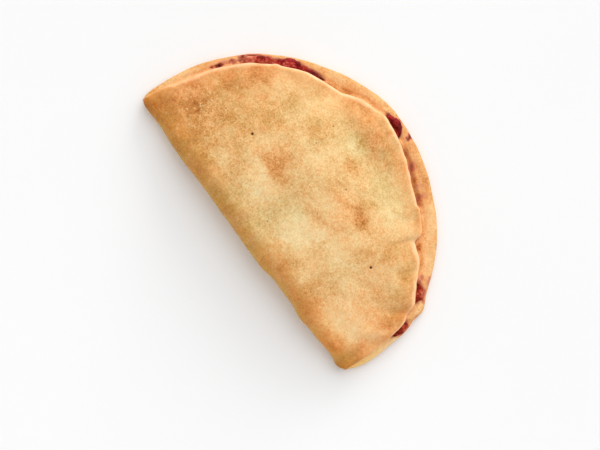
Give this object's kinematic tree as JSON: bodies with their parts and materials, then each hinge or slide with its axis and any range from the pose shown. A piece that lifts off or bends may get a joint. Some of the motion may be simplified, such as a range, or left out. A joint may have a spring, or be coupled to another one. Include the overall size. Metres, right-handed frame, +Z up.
{
  "type": "calzone",
  "caption": "Baked half-round calzone: one folded round of golden dough, pressed shut along its rim, with red tomato filling showing where the rim gapes.",
  "frame": {"origin": "bottom centre of the whole body's box, on the surface that it rests on", "axes": "+X along the straight fold, the longest side; -Y from the fold towards the curved rim; +Z up from the flat underside"},
  "size_m": [0.2286, 0.1314, 0.0275],
  "materials": {
    "crust": "baked pizza dough, matt, pale gold with brown oven patches",
    "filling": "cooked tomato filling, moist, dark red with lighter bits"
  },
  "bodies": {
    "root": {"crust": "crust", "filling": "filling"}
  },
  "joints": []
}
